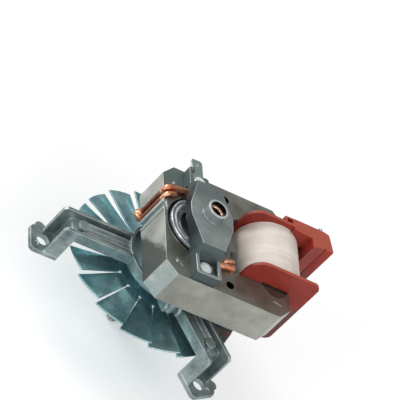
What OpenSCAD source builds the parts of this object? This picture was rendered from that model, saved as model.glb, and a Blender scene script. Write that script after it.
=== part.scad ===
// Shaded-pole fan motor of a fan oven, with its three-legged bracket and cooling fan.
// The origin is on the shaft axis, in the plane that the three feet stand on.
// Z points along the shaft to the closed end, away from the oven wall.
// X points from the shaft to the coil, and Y to the side of the earth tab.

/* [Lamination stack] */
// Height of the stack of sheets
stack_t = 20; // [16:0.5:24]
// Height of the stack's lower face over the feet plane
stack_z = 27.8; // [27:0.1:31]
// From the shaft axis to the closed end of the yoke
yoke_back = 19.3; // [19.1:0.1:21]
// From the shaft axis to the open end of the yoke
yoke_front = 52; // [51.5:0.5:56]
// Width of the yoke over its two bars
yoke_w = 68; // [66:1:74]
// Cut at each outer corner of the yoke
yoke_chamfer = 6.5; // [3:0.5:8]
// Radius of the hole that the rotor turns in
bore_r = 17.5; // [17:0.05:17.6]
// Width of the window between the two bars
window_w = 35; // [34.8:0.1:36]
// From the shaft axis to the near edge of the window
window_x = 21; // [20.4:0.1:22]
// Radius of the two free rivet holes
spare_hole_r = 2.2; // [1.5:0.1:2.6]

/* [Core limb] */
// Width of the limb that carries the coil
core_w = 15; // [12:0.5:17]
// From the shaft axis to the middle of the limb
core_x = 43; // [42:0.1:43.8]
// From the X axis to the centre of each round joint
core_joint_y = 15.7; // [15:0.1:16.5]
// Gap of the laminated joint
joint_gap = 0.05; // [0.02:0.01:0.1]

/* [Shading rings] */
// Diameter of the copper wire
ring_wire_d = 2.6; // [2:0.1:2.8]
// Middle of the outer leg of the long ring, sideways
long_ring_y = 17.2; // [16.6:0.1:17.8]
// Middle of the outer leg of the short ring, sideways
short_ring_y = 13; // [12.4:0.1:13.4]
// How far the outer legs stand proud of the stack
ring_proud = 0.6; // [0.3:0.1:1]
// Place of the long ring's inner leg, lengthwise
long_slot_x = 5.5; // [4.5:0.1:7]
// Place of the long ring's inner leg, sideways
long_slot_y = 19.9; // [19.5:0.1:21]
// Place of the short ring's inner leg, lengthwise
short_slot_x = 12.8; // [12.4:0.1:13.4]
// Place of the short ring's inner leg, sideways
short_slot_y = 15.2; // [14.9:0.1:15.6]

/* [Pole strips] */
// Width of the folded strip that closes a pole gap
strip_w = 5.8; // [4:0.1:6]
// Middle of the strip, sideways
strip_y = 7.4; // [7:0.1:7.7]
// Depth of the strip's groove in the stack
strip_depth = 1.6; // [1:0.1:1.7]
// Thickness of the strip's sheet
strip_sheet = 0.5; // [0.4:0.1:0.8]

/* [Bobbin and coil] */
// Length of the flanges along X
flange_l = 38.6; // [37:0.2:39]
// Height of the flanges along Z
flange_h = 45; // [43:0.2:47]
// Corner radius of the flanges beside the rotor
flange_corner = 9; // [5:0.5:12]
// Thickness of a flange
flange_t = 1.6; // [1.2:0.1:2]
// Wall of the tube round the limb
tube_wall = 1.2; // [0.8:0.1:1.5]
// Slack between the tube and the limb's two faces, along Z
tube_slack = 0.9; // [0.2:0.1:1.2]
// Half of the wound coil along X, over the tape
coil_half_x = 16.8; // [15:0.1:18]
// Half of the wound coil along Z, over the tape
coil_half_z = 19.8; // [18:0.1:20.6]
// Corner radius of the wound coil
coil_corner = 16; // [10:0.5:16.5]
// Thickness of the tape round the winding
tape_t = 0.35; // [0.2:0.05:0.6]

/* [Connector] */
// Far end of the connector shroud, along X
shroud_end = 71.4; // [70.6:0.2:73]
// Depth of the shroud along Z
shroud_h = 23.5; // [22:0.5:27]
// Height of the shroud's rim over the X axis
shroud_top = 20.7; // [20:0.1:22]
// Lower side of the shroud
shroud_bottom = 7.3; // [6.6:0.1:8]
// Wall of the shroud
shroud_wall = 1.5; // [1.2:0.1:1.8]
// Width of a terminal blade
blade_w = 6.3; // [4.8:0.1:6.3]
// Thickness of a terminal blade
blade_t = 0.8; // [0.5:0.1:0.8]
// End of the terminal blades, along Y
blade_end = 25.9; // [24:0.2:29]
// From the upper end of the shroud to the middle of the first blade
blade_inset = 5.4; // [5.2:0.1:6]
// Distance between the two blades
blade_pitch = 10; // [9:0.2:11]

/* [Bearing bridge] */
// Turn of the bridge and its screws about the shaft axis
bridge_turn = 1.5; // [0:0.5:4]
// Height of the bridge over the stack
bridge_h = 11.6; // [11:0.1:13]
// Thickness of the bridge at its middle
bridge_crown = 4.8; // [4.5:0.1:5.5]
// Half width of the bridge at its middle
bridge_half_w = 12; // [11:0.5:13]
// Half width of the bridge at its feet
bridge_foot_w = 6.9; // [6:0.1:8]
// From the shaft axis to the end of a foot
bridge_reach = 33.2; // [32:0.1:33.8]
// Height of the rim round a foot's pocket
foot_rim = 5.7; // [4.5:0.1:6.5]
// Thickness of a foot under the screw head
foot_floor = 2.2; // [2:0.1:3.4]
// Outer radius of the bearing boss
boss_r = 5.4; // [5.2:0.1:6.5]
// Height of the bearing boss over the bridge
boss_h = 5.5; // [4:0.1:7]

/* [Screws] */
// From the shaft axis to each assembly screw
screw_r_pos = 26.5; // [25.5:0.1:27.5]
// Thread diameter of the assembly screws
screw_d = 4; // [3:0.5:4]
// Head diameter of the assembly screws
screw_head_d = 6.6; // [5:0.1:7]
// Head height of the assembly screws
screw_head_h = 1.8; // [1.4:0.1:2.4]
// Clearance round a screw in a plain hole
screw_clear = 0.2; // [0.1:0.05:0.4]
// Length of the earth tab from its screw to its end
earth_tab_l = 15.6; // [14:0.2:18]

/* [Bearings and shaft] */
// Shaft diameter in the rotor and the drive side bearing
shaft_d = 8; // [7:0.5:8]
// Shaft diameter in the closed side bearing
journal_d = 6; // [5:0.5:6]
// Running clearance in the bushes, on the radius
run_gap = 0.02; // [0.01:0.01:0.05]
// Outer diameter of the drive side bush
front_bush_d = 12; // [11:0.5:13]
// Outer diameter of the closed side bush
rear_bush_d = 8.4; // [8:0.1:8.8]
// How far the closed side bush sits below the boss rim
bush_sink = 0.8; // [0.4:0.1:1.5]
// Radial width of the oil felts
felt_w = 1.8; // [1.2:0.1:2.2]
// Height of the oil felts
felt_t = 1.6; // [1.2:0.1:2]
// Across the flats of the wheel seat
seat_flats = 5.6; // [5:0.1:6]
// Start of the wheel seat below the feet plane
seat_top = 9; // [7:0.5:12]
// Length of the wheel seat
seat_l = 6; // [4:0.5:8]
// Thread diameter of the shaft end
stud_d = 6; // [5:0.5:6]
// Length of the threaded end
stud_l = 13; // [10:0.5:16]

/* [Rotor] */
// Gap between the rotor and the bore
air_gap = 0.3; // [0.3:0.05:0.5]
// Number of cage bars
bar_count = 15; // [11:1:17]
// Radius of a cage bar
bar_r = 1.2; // [0.9:0.05:1.3]
// Height of an end ring
end_ring_h = 1.6; // [1.2:0.1:2]
// Inner radius of an end ring
end_ring_in = 10.4; // [10:0.1:12]

/* [Cooling fan] */
// Outer radius of the fan
fan_r = 47.6; // [44:0.2:48]
// Middle height of the fan's sheet
fan_z = 11; // [10.6:0.1:11.2]
// Thickness of the fan's sheet
fan_sheet = 0.8; // [0.6:0.1:0.9]
// Number of blades
blade_count = 18; // [12:1:24]
// Rise of a blade across its rim
blade_rise = 3.3; // [2:0.1:3.4]
// Radius at which the slits begin
slit_r = 22.6; // [20:0.2:26]
// Width of a slit
slit_w = 0.5; // [0.4:0.1:1.2]
// Turn of the first slit about the axis
fan_phase = 4.4; // [0:0.2:20]

/* [Bracket] */
// Radius of the circle of foot holes
foot_circle_r = 58.5; // [57:0.5:62]
// Radius of a foot hole
foot_hole_r = 3.2; // [2.2:0.1:3.4]
// Thickness of a foot
foot_t = 2.4; // [2:0.1:4]
// End of a foot past its hole
foot_past = 6.6; // [6:0.2:9]
// Width of an arm
arm_w = 15; // [13:0.5:17]
// Side wall of an arm's channel
arm_wall = 1.7; // [1.2:0.1:2.2]
// Underside of the arms over the feet plane
arm_under = 16; // [15:0.1:16.5]
// Upper edge of the arms over the feet plane
arm_top = 22; // [21:0.1:22.5]
// Thickness of the channel's floor
arm_floor = 2; // [1.6:0.1:2.6]
// Inner face of the legs, from the axis
leg_in = 50; // [49.5:0.5:52]
// Outer edge of the legs, from the axis
leg_out = 57.8; // [56:0.2:60]
// Width of the rib along an arm
rib_w = 7.2; // [5:0.2:8]
// Radius of the round boss at the end of an arm's rib
rib_boss_r = 2.9; // [2:0.1:3.2]
// Radius of the hub that holds the drive side bush
hub_r = 9; // [8:0.5:10]

/* [Hidden] */
$fn = 64;
eps = 0.01;
seat = 0.02;

// levels along the shaft
stack_top = stack_z + stack_t;
stack_mid = stack_z + stack_t / 2;
bridge_top = stack_top + bridge_h;
boss_top = bridge_top + boss_h;
foot_seat = stack_top + foot_floor;
ring_z = ring_wire_d / 2 + 0.1;

// arch under the bridge, over the rotor
arch_rise = bridge_h - bridge_crown;
arch_half = bore_r + 0.6;
arch_r = (arch_half * arch_half + arch_rise * arch_rise) / (2 * arch_rise);

// coil frame
flange_in = window_w / 2 - 0.2 - flange_t;
tube_clear = 0.15;
tube_half_x = core_w / 2 + tube_clear + tube_wall;
tube_half_z = stack_t / 2 + tube_slack + tube_wall;
tube_corner = 0.5;
flange_top = stack_mid + flange_h / 2;

// push-on blades
blade_chamfer = 1;
catch_inset = 3.4;
catch_r = 0.7;

// shaft and bearings
shaft_r = shaft_d / 2;
journal_r = journal_d / 2;
rotor_r = bore_r - air_gap;
hub_bottom = 13.6;
hub_top = 24.6;
front_bush_top = hub_top + 0.9;
rear_bush_top = boss_top - bush_sink;
shoulder_z = stack_top + 2.9;
thrust_t = 0.8;
rear_bush_low = shoulder_z + thrust_t + 0.3;
housing_wall = 2.4;
journal_top = boss_top - 4.6;
seat_low = -seat_top - seat_l;
shaft_low = seat_low - stud_l;

// cooling fan
hub_spigot_r = 5;
fan_low = fan_z - fan_sheet / 2 - 0.05;
fan_high = fan_z + fan_sheet / 2 + 0.05;
star_t = 0.8;
pitch = 360 / blade_count;

// bracket
arm_angles = [60, 180, 300];
lug_sides = [1, -1, 1];
hub_disc_r = 21;
rib_end = 47;
foot_end = foot_circle_r + foot_past;
arm_start = hub_disc_r - 2.4;
foot_lap = 0.5;

// places the children at both assembly screws
module at_screws() {
    for (s = [-1, 1])
        rotate(bridge_turn)
            translate([0, s * screw_r_pos, 0])
                children();
}

// repeats the children on the opposite pole, half a turn about the shaft
module both_poles() {
    for (a = [0, 180])
        rotate(a)
            children();
}

// a flat drawn in the X and Z plane, given a length along Y about the X axis
module along_y(length) {
    rotate([90, 0, 0])
        linear_extrude(length, center = true)
            children();
}

// a rectangle with round corners, about the origin
module round_rect(half_x, half_y, r) {
    square([2 * half_x, 2 * (half_y - r)], center = true);
    square([2 * (half_x - r), 2 * half_y], center = true);
    for (sx = [-1, 1], sy = [-1, 1])
        translate([sx * (half_x - r), sy * (half_y - r)])
            circle(r);
}

// the holes that both assembly screws pass through
module screw_holes(low, high, r) {
    at_screws()
        translate([0, 0, low])
            cylinder(h = high - low, r = r);
}

// outline of one yoke sheet without its round holes
module yoke_outline() {
    c = yoke_chamfer;
    half = yoke_w / 2;
    difference() {
        polygon([[-yoke_back + c, -half], [yoke_front - c, -half], [yoke_front, -half + c],
            [yoke_front, half - c], [yoke_front - c, half], [-yoke_back + c, half],
            [-yoke_back, half - c], [-yoke_back, -half + c]]);
        translate([window_x, -window_w / 2])
            square([yoke_front, window_w]);
        both_poles() {
            // recess for the outer legs of the two shading rings
            recess = yoke_back + ring_proud - ring_wire_d - seat;
            translate([-window_x - eps, short_ring_y - ring_wire_d / 2 - 0.1])
                square([window_x - recess, long_ring_y - short_ring_y + ring_wire_d + 0.2]);
            // groove for the folded strip
            translate([-window_x - eps, strip_y - strip_w / 2 - seat])
                square([window_x - yoke_back + strip_depth + eps, strip_w + 2 * seat]);
        }
    }
}

// a shallow chisel mark that locks the sheets
module staking_mark(x, y, a) {
    translate([x, y, stack_top])
        rotate(a)
            cube([5.2, 0.9, 1.2], center = true);
}

module yoke_stack() {
    color([0.64, 0.62, 0.57])
        difference() {
            union() {
                translate([0, 0, stack_z])
                    linear_extrude(stack_t)
                        yoke_outline();
                for (p = [[-13.2, 23.4], [-13.2, -25.6]])
                    translate([p[0], p[1], stack_top - eps])
                        cylinder(h = 0.3, r = 0.7);
            }
            translate([0, 0, stack_z - 1])
                cylinder(h = stack_t + 2, r = bore_r, $fn = 96);
            for (s = [-1, 1])
                translate([core_x, s * core_joint_y, stack_z - 1])
                    cylinder(h = stack_t + 2, r = core_w / 2 + joint_gap);
            for (s = [-1, 1])
                translate([bore_r - 0.6, s * (yoke_w / 2 - 6.8), stack_z - 1])
                    cylinder(h = stack_t + 2, r = spare_hole_r);
            both_poles() {
                translate([-long_slot_x, long_slot_y, stack_z - 1])
                    cylinder(h = stack_t + 2, r = ring_wire_d / 2 + 0.1);
                translate([-short_slot_x, short_slot_y, stack_z - 1])
                    cylinder(h = stack_t + 2, r = ring_wire_d / 2 + 0.1);
            }
            screw_holes(stack_z - 1, stack_top + 1, screw_d / 2 + screw_clear);
            staking_mark(-11.9, -25.8, -56);
            staking_mark(core_x + 1.6, -core_joint_y - core_w / 2 - 3.2, -12);
            staking_mark(core_x + 1.6, core_joint_y + core_w / 2 + 3.2, 12);
        }
}

module core_limb() {
    color([0.58, 0.56, 0.52])
        translate([core_x, 0, stack_z]) {
            translate([-core_w / 2, -core_joint_y, 0])
                cube([core_w, 2 * core_joint_y, stack_t]);
            for (s = [-1, 1])
                translate([0, s * core_joint_y, 0])
                    cylinder(h = stack_t, r = core_w / 2);
        }
}

// a folded channel of spring steel in each pole gap
module pole_strips() {
    floor_x = yoke_back - strip_depth;
    lip_x = yoke_back + 0.5;
    color([0.80, 0.84, 0.84])
        both_poles()
            translate([0, strip_y, stack_z])
                linear_extrude(stack_t)
                    difference() {
                        translate([-lip_x, -strip_w / 2])
                            square([lip_x - floor_x - seat, strip_w]);
                        translate([-lip_x - 1, -strip_w / 2 + 1.3])
                            square([lip_x + 1 - floor_x - seat - strip_sheet, strip_w - 2.5]);
                    }
}

// a closed loop of round wire: two legs along Z joined over both faces of the stack
module wire_loop(p, q) {
    r = ring_wire_d / 2;
    bend = 1.8;
    lap = 0.05;
    span = norm(q - p);
    turn = atan2(q[1] - p[1], q[0] - p[0]);
    low = stack_z - ring_z;
    high = stack_top + ring_z;
    translate([p[0], p[1], 0])
        rotate(turn) {
            for (x = [0, span])
                translate([x, 0, low + bend - lap])
                    cylinder(h = high - low - 2 * bend + 2 * lap, r = r, $fn = 32);
            for (z = [low, high])
                translate([bend - lap, 0, z])
                    rotate([0, 90, 0])
                        cylinder(h = span - 2 * bend + 2 * lap, r = r, $fn = 32);
            for (c = [[bend, low + bend, 180], [span - bend, low + bend, 270],
                    [span - bend, high - bend, 0], [bend, high - bend, 90]])
                translate([c[0], 0, c[1]])
                    rotate([90, 0, 0])
                        rotate(c[2])
                            rotate_extrude(angle = 90, $fn = 48)
                                translate([bend, 0])
                                    circle(r - eps, $fn = 32);
        }
}

// outer leg of a shading ring, on the closed end of the yoke
function outer_leg(y) = [-yoke_back - ring_proud + ring_wire_d / 2, y];

module long_ring() {
    wire_loop(outer_leg(long_ring_y), [-long_slot_x, long_slot_y]);
}

module short_ring() {
    wire_loop(outer_leg(short_ring_y), [-short_slot_x, short_slot_y]);
}

module upper_long_shading_ring() {
    color([0.78, 0.43, 0.24])
        long_ring();
}

module upper_short_shading_ring() {
    color([0.72, 0.38, 0.20])
        short_ring();
}

module lower_long_shading_ring() {
    color([0.78, 0.43, 0.24])
        rotate(180)
            long_ring();
}

module lower_short_shading_ring() {
    color([0.72, 0.38, 0.20])
        rotate(180)
            short_ring();
}

// flange outline in the X and Z plane: large corners beside the rotor, small ones outside
module flange_outline() {
    big = flange_corner;
    small = 3.6;
    half_l = flange_l / 2;
    half_h = flange_h / 2;
    translate([-half_l, -half_h + big])
        square([flange_l, flange_h - 2 * big]);
    translate([-half_l + big, -half_h])
        square([flange_l - big - small, flange_h]);
    translate([half_l - small - 1, -half_h + small])
        square([small + 1, flange_h - 2 * small]);
    for (s = [-1, 1]) {
        translate([-half_l + big, s * (half_h - big)])
            circle(big);
        translate([half_l - small, s * (half_h - small)])
            circle(small, $fn = 32);
    }
}

// where the terminal blades stand, and the hollow round them
blade_x = shroud_end - 4.4;
blade_places = [flange_top - blade_inset, flange_top - blade_inset - blade_pitch];
shroud_low = flange_top - shroud_h;
shroud_left = shroud_end - 12;
cavity_x = core_x + coil_half_x + 2.1;
cavity_floor = shroud_bottom + 4.6;
blade_root = cavity_floor - 1.4;

// the shroud seen from the closed end: a hood with two bands along its lower side
module shroud_outline() {
    step = shroud_end - 5;
    groove = 0.6;
    low = shroud_bottom;
    top = shroud_top;
    polygon([[shroud_left, flange_in + 0.5], [shroud_left, low], [shroud_left + 1.2, low + 0.7],
        [step, low + 2], [step, low + 2 + groove], [step + groove, low + 2 + groove],
        [step + groove, low + 2.1], [shroud_end - 0.4, low + 1.6], [shroud_end, low + 2],
        [shroud_end - 1.3, top - 3.4], [shroud_end - 1.9, top - 0.9], [shroud_end - 5, top],
        [shroud_left, top]]);
}

// connector shroud and the duct that leads the wires to it
module shroud() {
    duct_x = core_x + 6;
    duct_low = stack_top + 0.3;
    step_y = flange_in - 2.4;
    outer_face = flange_in + flange_t;
    box_x = core_x + 0.7;
    box_low = flange_top - 4.8;
    box_wall = 0.9;
    difference() {
        union() {
            translate([0, 0, shroud_low])
                linear_extrude(shroud_h)
                    shroud_outline();
            translate([duct_x, flange_in + 0.2, duct_low])
                cube([shroud_left - duct_x + 1, shroud_top - flange_in - 0.2,
                    flange_top - duct_low]);
            translate([yoke_front + 0.3, flange_in + 0.4, shroud_low + 0.4])
                cube([shroud_left - yoke_front, shroud_top - flange_in - 0.8, shroud_h - 2]);
            // thick corner between the flange and the shroud
            translate([0, 0, flange_top - 9])
                linear_extrude(8.8)
                    polygon([[duct_x, step_y + 1.1], [shroud_left + 0.5, step_y],
                        [shroud_left + 0.5, flange_in + 0.5], [duct_x, flange_in + 0.5]]);
            // small open box that guides the first wire
            translate([box_x, flange_in + 0.3, box_low])
                cube([duct_x - box_x + 0.5, shroud_top - 0.1 - flange_in - 0.3,
                    flange_top - 0.1 - box_low]);
        }
        // open duct for the two wire ends
        translate([duct_x + 1.5, outer_face, duct_low + 3])
            cube([shroud_left - duct_x - 3, shroud_top, flange_top - duct_low - 5.5]);
        // hollow of the small box
        translate([box_x + box_wall, outer_face, box_low + box_wall])
            cube([duct_x - box_x - 2 * box_wall, shroud_top - outer_face - box_wall - 0.1, 5]);
        // hollow that clears the wound coil
        translate([core_x, 0, stack_mid])
            along_y(2 * flange_in - 0.1)
                round_rect(coil_half_x + 0.3, coil_half_z + 0.3, coil_corner + 0.3);
    }
}

module bobbin() {
    color([0.60, 0.23, 0.19])
        difference() {
            union() {
                for (s = [-1, 1])
                    translate([core_x, s * (flange_in + flange_t / 2), stack_mid])
                        along_y(flange_t)
                            flange_outline();
                translate([core_x, 0, stack_mid])
                    along_y(2 * flange_in + flange_t)
                        round_rect(tube_half_x, tube_half_z, tube_corner);
                shroud();
            }
            translate([core_x, 0, stack_mid])
                along_y(window_w)
                    square([core_w + 2 * tube_clear, stack_t + 2 * tube_slack], center = true);
            // room for the terminal blades and their push-on sockets
            translate([cavity_x, cavity_floor, shroud_low + shroud_wall])
                cube([shroud_end - 1.2 - shroud_wall - cavity_x, shroud_top,
                    shroud_h - 2 * shroud_wall]);
            for (z = blade_places)
                translate([blade_x - blade_t / 2 - seat, blade_root - seat,
                        z - blade_w / 2 - seat])
                    cube([blade_t + 2 * seat, shroud_top, blade_w + 2 * seat]);
            // small notch in the outer corner of the lower flange
            translate([core_x + flange_l / 2 - 5.2, -window_w / 2, flange_top - 5])
                cube([2.8, flange_t + 1, 1]);
        }
}

// one layer of the coil, from the tube out to the given size
module coil_layer(half_x, half_z, corner, in_x, in_z, in_corner, length) {
    translate([core_x, 0, stack_mid])
        along_y(length)
            difference() {
                round_rect(half_x, half_z, corner);
                round_rect(in_x, in_z, in_corner);
            }
}

module winding() {
    color([0.62, 0.30, 0.16])
        coil_layer(coil_half_x - tape_t - seat, coil_half_z - tape_t - seat,
            coil_corner - tape_t - seat, tube_half_x + seat, tube_half_z + seat, tube_corner,
            2 * flange_in - 0.1);
}

module coil_tape() {
    color([0.87, 0.84, 0.81])
        coil_layer(coil_half_x, coil_half_z, coil_corner,
            coil_half_x - tape_t, coil_half_z - tape_t, coil_corner - tape_t,
            2 * flange_in - 0.1);
}

// flat of a push-on blade, with its catch hole
module blade_outline(root, end) {
    half = blade_w / 2;
    difference() {
        polygon([[-half, root], [half, root], [half, end - blade_chamfer],
            [half - blade_chamfer, end], [-half + blade_chamfer, end],
            [-half, end - blade_chamfer]]);
        translate([0, end - catch_inset])
            circle(catch_r, $fn = 24);
    }
}

module coil_terminals() {
    color([0.72, 0.73, 0.70])
        for (z = blade_places)
            translate([blade_x, 0, z])
                rotate([0, 90, 0])
                    linear_extrude(blade_t, center = true)
                        blade_outline(blade_root, blade_end);
}

// outline of the bridge from above: a lozenge over the rotor and two straight feet
module bridge_plan() {
    shoulder_y = bridge_reach - 12.7;
    end_w = bridge_foot_w - 0.7;
    polygon([[-end_w, -shoulder_y], [end_w, -shoulder_y], [bridge_half_w, -3.5],
        [bridge_half_w, 3.5], [end_w, shoulder_y], [-end_w, shoulder_y],
        [-bridge_half_w, 3.5], [-bridge_half_w, -3.5]]);
    for (s = [-1, 1])
        translate([0, s * (bridge_reach - 8.5)])
            round_rect(bridge_foot_w, 8.5, 1.2, $fn = 32);
}

// the bridge seen from its side: crown, end slopes and the rims of the pockets
module bridge_side() {
    crown_y = bridge_reach - 13.7;
    rim_y = bridge_reach - 11.2;
    polygon([[-bridge_reach, 0], [-bridge_reach, foot_rim], [-rim_y, foot_rim],
        [-crown_y, bridge_h], [crown_y, bridge_h], [rim_y, foot_rim],
        [bridge_reach, foot_rim], [bridge_reach, 0]]);
}

// pocket round a screw head, as a side view cut
module pocket_side() {
    rim = 1.7;
    back_y = bridge_reach - 10.3;
    slope_y = bridge_reach - 13.5;
    polygon([[bridge_reach - rim, foot_floor], [back_y, foot_floor],
        [slope_y, bridge_h + 0.2], [bridge_reach - rim, bridge_h + 0.2]]);
}

// gives a side view a width along X, at the height of the stack
module bridge_slice(width) {
    translate([0, 0, stack_top])
        rotate([90, 0, 90])
            linear_extrude(width, center = true)
                children();
}

module bearing_bridge() {
    housing_low = rear_bush_low - 0.1;
    color([0.46, 0.48, 0.48])
        rotate(bridge_turn)
            difference() {
                union() {
                    difference() {
                        intersection() {
                            translate([0, 0, stack_top])
                                linear_extrude(bridge_h)
                                    bridge_plan();
                            bridge_slice(4 * bridge_half_w)
                                bridge_side();
                        }
                        // arch over the rotor
                        translate([0, 0, stack_top + arch_rise - arch_r])
                            rotate([0, 90, 0])
                                cylinder(h = 4 * bridge_half_w, r = arch_r, center = true, $fn = 96);
                        translate([0, 0, stack_top - 1])
                            cylinder(h = end_ring_h + 2.2, r = bore_r + 0.7);
                        // pockets of the two screw heads
                        for (a = [0, 180])
                            rotate(a)
                                bridge_slice(2 * bridge_foot_w - 3.6)
                                    pocket_side();
                        // way out for the earth tab, open on one side
                        translate([-blade_w / 2 - 0.2, bridge_reach - 9.6, foot_seat])
                            cube([2 * bridge_foot_w, 11, foot_rim]);
                    }
                    translate([0, 0, housing_low])
                        cylinder(h = bridge_top - housing_low - eps,
                            r = rear_bush_d / 2 + housing_wall);
                    // boss with a small fillet cone at its foot
                    translate([0, 0, bridge_top - eps])
                        cylinder(h = boss_h + eps, r = boss_r);
                    translate([0, 0, bridge_top - eps])
                        cylinder(h = 0.7, r1 = boss_r + 0.7, r2 = boss_r);
                }
                translate([0, 0, housing_low - 1])
                    cylinder(h = boss_top - housing_low + 2, r = rear_bush_d / 2);
                for (s = [-1, 1])
                    translate([0, s * screw_r_pos, stack_top - 1])
                        cylinder(h = foot_floor + 2, r = screw_d / 2 + screw_clear);
                // relief for the long shading rings
                rotate(-bridge_turn)
                    both_poles()
                        translate([-long_slot_x - 5, long_slot_y - 3, stack_top - 1])
                            cube([7, 5, ring_wire_d + 1.5]);
            }
}

// a plain bush with a chamfer at each mouth
module bush(low, high, outer_r, inner_r, mouth) {
    translate([0, 0, low])
        difference() {
            cylinder(h = high - low, r = outer_r);
            translate([0, 0, -1])
                cylinder(h = high - low + 2, r = inner_r);
            translate([0, 0, high - low - mouth])
                cylinder(h = mouth + eps, r1 = inner_r, r2 = inner_r + mouth);
        }
}

module rear_bush() {
    color([0.70, 0.42, 0.26])
        bush(rear_bush_low, rear_bush_top, rear_bush_d / 2, journal_r + run_gap, 0.7);
}

module front_bush() {
    color([0.70, 0.42, 0.26])
        bush(hub_bottom + 0.3, front_bush_top, front_bush_d / 2, shaft_r + run_gap, 0.5);
}

// underside of the bridge's arch at a distance from the shaft axis
function arch_z(y) = stack_top + arch_rise - arch_r + sqrt(arch_r * arch_r - y * y);

// oil felts: a ring in each bearing housing
module felt_ring(low, inner_r, outer_r, h) {
    translate([0, 0, low])
        difference() {
            cylinder(h = h, r = outer_r);
            translate([0, 0, -1])
                cylinder(h = h + 2, r = inner_r);
        }
}

module rear_oil_felt() {
    inner = rear_bush_d / 2 + housing_wall + 0.06;
    low = arch_z(inner + felt_w) - 0.1 - felt_t;
    color([0.80, 0.78, 0.70])
        felt_ring(low, inner, inner + felt_w, felt_t);
}

module front_oil_felt() {
    inner = hub_r + seat;
    color([0.80, 0.78, 0.70])
        felt_ring(arm_under + arm_floor - 0.2 + seat, inner, inner + felt_w, felt_t);
}

// push-on tab with a ring under the screw head
module earth_tab() {
    color([0.62, 0.67, 0.65])
        rotate(bridge_turn)
            translate([0, screw_r_pos, foot_seat])
                linear_extrude(blade_t)
                    difference() {
                        union() {
                            circle(screw_head_d / 2 + 0.1, $fn = 48);
                            blade_outline(0, earth_tab_l);
                        }
                        circle(screw_d / 2 + screw_clear, $fn = 48);
                    }
}

// one screw from under its head down to its tip
module screw(seat_z, tip_z) {
    translate([0, 0, tip_z + 0.6])
        cylinder(h = seat_z - tip_z - 0.6 + eps, r = screw_d / 2);
    translate([0, 0, tip_z])
        cylinder(h = 0.6, r1 = screw_d / 2 - 0.6, r2 = screw_d / 2);
    translate([0, 0, seat_z])
        cylinder(h = screw_head_h * 0.6, r = screw_head_d / 2);
    translate([0, 0, seat_z + screw_head_h * 0.6])
        cylinder(h = screw_head_h * 0.4, r1 = screw_head_d / 2, r2 = screw_head_d / 2 - 0.9);
}

module assembly_screws() {
    tip = arm_top - 2.4;
    color([0.75, 0.78, 0.80])
        rotate(bridge_turn) {
            translate([0, -screw_r_pos, 0])
                screw(foot_seat, tip);
            translate([0, screw_r_pos, 0])
                screw(foot_seat + blade_t, tip);
        }
}

module shaft() {
    color([0.62, 0.63, 0.64]) {
        translate([0, 0, -seat_top])
            cylinder(h = shoulder_z + seat_top, r = shaft_r);
        translate([0, 0, shoulder_z - eps])
            cylinder(h = journal_top - shoulder_z - 0.5 + eps, r = journal_r);
        translate([0, 0, journal_top - 0.5])
            cylinder(h = 0.5, r1 = journal_r, r2 = journal_r - 0.5);
        // wheel seat with two flats
        intersection() {
            translate([0, 0, seat_low])
                cylinder(h = seat_l + eps, r = shaft_r - 0.5);
            translate([-shaft_r, -seat_flats / 2, seat_low])
                cube([2 * shaft_r, seat_flats, seat_l + eps]);
        }
        translate([0, 0, shaft_low + 0.8])
            cylinder(h = stud_l - 0.8 + eps, r = min(stud_d, seat_flats + 0.4) / 2);
        translate([0, 0, shaft_low])
            cylinder(h = 0.8, r1 = stud_d / 2 - 0.8, r2 = stud_d / 2);
    }
}

// places of the cage bars, about the shaft
bar_ring_r = rotor_r - bar_r - 0.8;

module at_bars() {
    for (i = [0:bar_count - 1])
        rotate(i * 360 / bar_count)
            translate([bar_ring_r, 0, 0])
                children();
}

module rotor_core() {
    color([0.55, 0.55, 0.54])
        difference() {
            translate([0, 0, stack_z])
                cylinder(h = stack_t, r = rotor_r, $fn = 96);
            translate([0, 0, stack_z - 1])
                cylinder(h = stack_t + 2, r = shaft_r + run_gap / 2);
            translate([0, 0, stack_z - 1])
                at_bars()
                    cylinder(h = stack_t + 2, r = bar_r + seat, $fn = 24);
        }
}

// section of an end ring: a rim, and a dished face that steps down to the core
module end_ring_section() {
    outer = rotor_r - 0.3;
    polygon([[end_ring_in, 0], [outer, 0], [outer, end_ring_h - 0.3], [outer - 0.3, end_ring_h],
        [outer - 1, end_ring_h], [outer - 1.3, end_ring_h - 0.4],
        [outer - 2.4, end_ring_h - 0.6], [outer - 2.6, end_ring_h - 0.35],
        [outer - 3.2, end_ring_h - 0.4], [end_ring_in + 1.2, 0.5], [end_ring_in, 0.3]]);
}

module rotor_cage() {
    color([0.78, 0.80, 0.82]) {
        translate([0, 0, stack_top])
            rotate_extrude($fn = 96)
                end_ring_section();
        translate([0, 0, stack_z])
            mirror([0, 0, 1])
                rotate_extrude($fn = 96)
                    end_ring_section();
        translate([0, 0, stack_z - eps])
            at_bars()
                cylinder(h = stack_t + 2 * eps, r = bar_r, $fn = 24);
    }
}

module rear_thrust_washer() {
    color([0.86, 0.84, 0.76])
        felt_ring(shoulder_z, journal_r + 0.05, journal_r + 2.6, thrust_t);
}

module front_thrust_washer() {
    low = front_bush_top + 0.3;
    color([0.86, 0.84, 0.76])
        felt_ring(low, shaft_r + 0.05, shaft_r + 3, stack_z - low);
}

// middle surface of a blade: share of the way out and share of the way across
function blade_radius(u) = slit_r - 1.6 + u * (fan_r - slit_r + 1.6);
function blade_ease(u) = u * u * (3 - 2 * u);
function blade_point(u, v, side) =
    let (r = blade_radius(u))
    let (half = pitch / 2 - asin(slit_w / 2 / r))
    let (a = half * (2 * v - 1))
    let (lift = blade_rise * (v - 0.5) * blade_ease(u))
    [r * cos(a), r * sin(a), fan_z + lift + side * fan_sheet / 2];

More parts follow.
